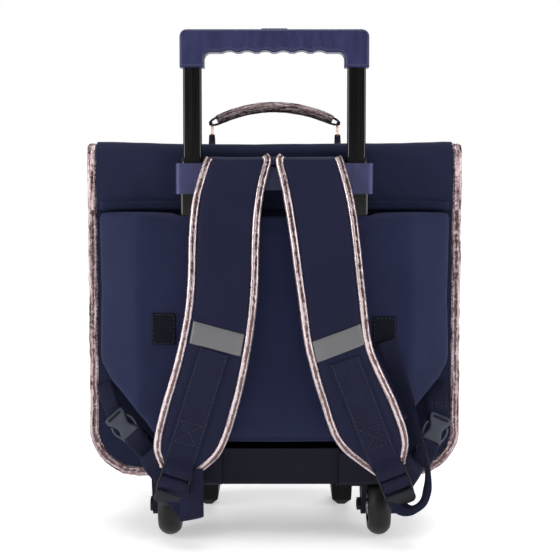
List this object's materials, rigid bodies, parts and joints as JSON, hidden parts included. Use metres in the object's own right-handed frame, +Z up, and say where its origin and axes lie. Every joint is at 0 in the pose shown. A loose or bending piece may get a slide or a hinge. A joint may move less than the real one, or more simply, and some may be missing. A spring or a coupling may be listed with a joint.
{
  "type": "trolley school bag",
  "caption": "School satchel with padded shoulder straps on a two-wheeled telescopic trolley frame, with a flap, press clasps and front feet.",
  "frame": {"origin": "middle of the footprint, on the floor that the wheels and feet stand on", "axes": "+Z up; -Y towards the wearer's back, where the tubes and straps are; +X to the right seen from the strap side"},
  "size_m": [0.41, 0.2702, 0.5535],
  "materials": {
    "navy_fabric": "matt woven polyester",
    "strap_fabric": "brushed padded polyester",
    "rose_binding": "metallic rose-gold coated tape",
    "navy_webbing": "woven webbing",
    "reflective": "grey reflective tape",
    "hook_patch": "hook tape",
    "rose_metal": "rose-gold plated wire",
    "board": "pressed board",
    "navy_plastic": "satin moulded",
    "grey_plastic": "satin moulded",
    "clasp_plastic": "satin moulded",
    "black_plastic": "fine grained",
    "tyre": "solid polyurethane",
    "black_tube": "glossy black with bare edges",
    "steel": "zinc plated"
  },
  "bodies": {
    "bag": {"bag_body": "navy_fabric", "back_board": "board", "bottom_board": "board", "front_pocket": "navy_fabric", "front_binding": "rose_binding", "back_binding": "rose_binding", "flap_yoke": "navy_fabric", "clasp_keepers": "clasp_plastic", "trolley_base": "navy_plastic", "top_bracket": "navy_plastic", "guide_bushings": "black_plastic", "outer_tube_left": "black_tube", "outer_tube_right": "black_tube", "axles": "steel", "axle_nuts": "steel", "axle_spacers": "steel", "front_feet": "black_plastic", "screws": "steel", "back_panel": "navy_fabric", "hook_patches": "hook_patch", "strap_left": "strap_fabric", "strap_right": "strap_fabric", "strap_piping": "rose_binding", "reflective_bands": "reflective", "strap_webbing": "navy_webbing", "strap_anchor": "navy_fabric", "ladder_locks": "navy_plastic", "load_webbing": "navy_webbing", "buckle_plugs": "grey_plastic", "buckle_sockets": "grey_plastic", "anchor_tabs": "navy_fabric", "webbing_tails": "navy_webbing"},
    "middle_stage": {"middle_tube_left": "black_tube", "middle_tube_right": "black_tube", "middle_glides": "black_plastic", "middle_caps": "black_plastic"},
    "handle": {"inner_tube_left": "black_tube", "inner_tube_right": "black_tube", "inner_plugs": "black_plastic", "grip": "navy_plastic", "button_spring": "steel"},
    "release_button": {"release_button": "navy_plastic", "push_rods": "steel"},
    "lock_pins": {"lock_pins": "steel"},
    "flap": {"flap": "navy_fabric", "flap_binding": "rose_binding", "handle_loops": "navy_webbing", "clasp_latch_left": "clasp_plastic", "clasp_latch_right": "clasp_plastic"},
    "carry_handle": {"carry_handle": "rose_binding", "handle_rings": "rose_metal", "handle_ends": "navy_webbing"},
    "clasp_button_left": {"clasp_button_left": "clasp_plastic"},
    "clasp_button_right": {"clasp_button_right": "clasp_plastic"},
    "wheel_left": {"tyre_left": "tyre", "hub_left": "black_plastic", "bearings_left": "steel"},
    "wheel_right": {"tyre_right": "tyre", "hub_right": "black_plastic", "bearings_right": "steel"}
  },
  "joints": [
    {"name": "middle_slide", "type": "slide", "parent": "bag", "child": "middle_stage", "axis": [0, 0, 1], "range_m": [0, 0.24]},
    {"name": "handle_slide", "type": "slide", "parent": "middle_stage", "child": "handle", "axis": [0, 0, 1], "range_m": [-0.096, 0.136]},
    {"name": "button_press", "type": "slide", "parent": "handle", "child": "release_button", "axis": [0, 0, -1], "range_m": [0, 0.0035], "stiffness_N_per_m": 1200, "springref_m": -0.002, "deforming": ["button_spring"]},
    {"name": "pin_retract", "type": "slide", "parent": "handle", "child": "lock_pins", "axis": [0, -1, 0], "range_m": [0, 0.002]},
    {"name": "flap_hinge", "type": "hinge", "parent": "bag", "child": "flap", "pos_m": [0, -0.0583, 0.427], "axis": [1, 0, 0], "range_deg": [0, 90]},
    {"name": "carry_handle_hinge", "type": "hinge", "parent": "flap", "child": "carry_handle", "pos_m": [0, -0.0043, 0.444], "axis": [1, 0, 0], "range_deg": [-75, 75]},
    {"name": "clasp_press_left", "type": "slide", "parent": "flap", "child": "clasp_button_left", "axis": [0, -1, 0], "range_m": [0, 0.0025], "stiffness_N_per_m": 500},
    {"name": "clasp_press_right", "type": "slide", "parent": "flap", "child": "clasp_button_right", "axis": [0, -1, 0], "range_m": [0, 0.0025], "stiffness_N_per_m": 500},
    {"name": "wheel_left_spin", "type": "hinge", "parent": "bag", "child": "wheel_left", "pos_m": [-0.1145, -0.0673, 0.033], "axis": [1, 0, 0], "continuous": true},
    {"name": "wheel_right_spin", "type": "hinge", "parent": "bag", "child": "wheel_right", "pos_m": [0.1145, -0.0673, 0.033], "axis": [1, 0, 0], "continuous": true}
  ],
  "couplings": [
    {"joint": "pin_retract", "follows": "button_press", "ratio": 0.57}
  ]
}
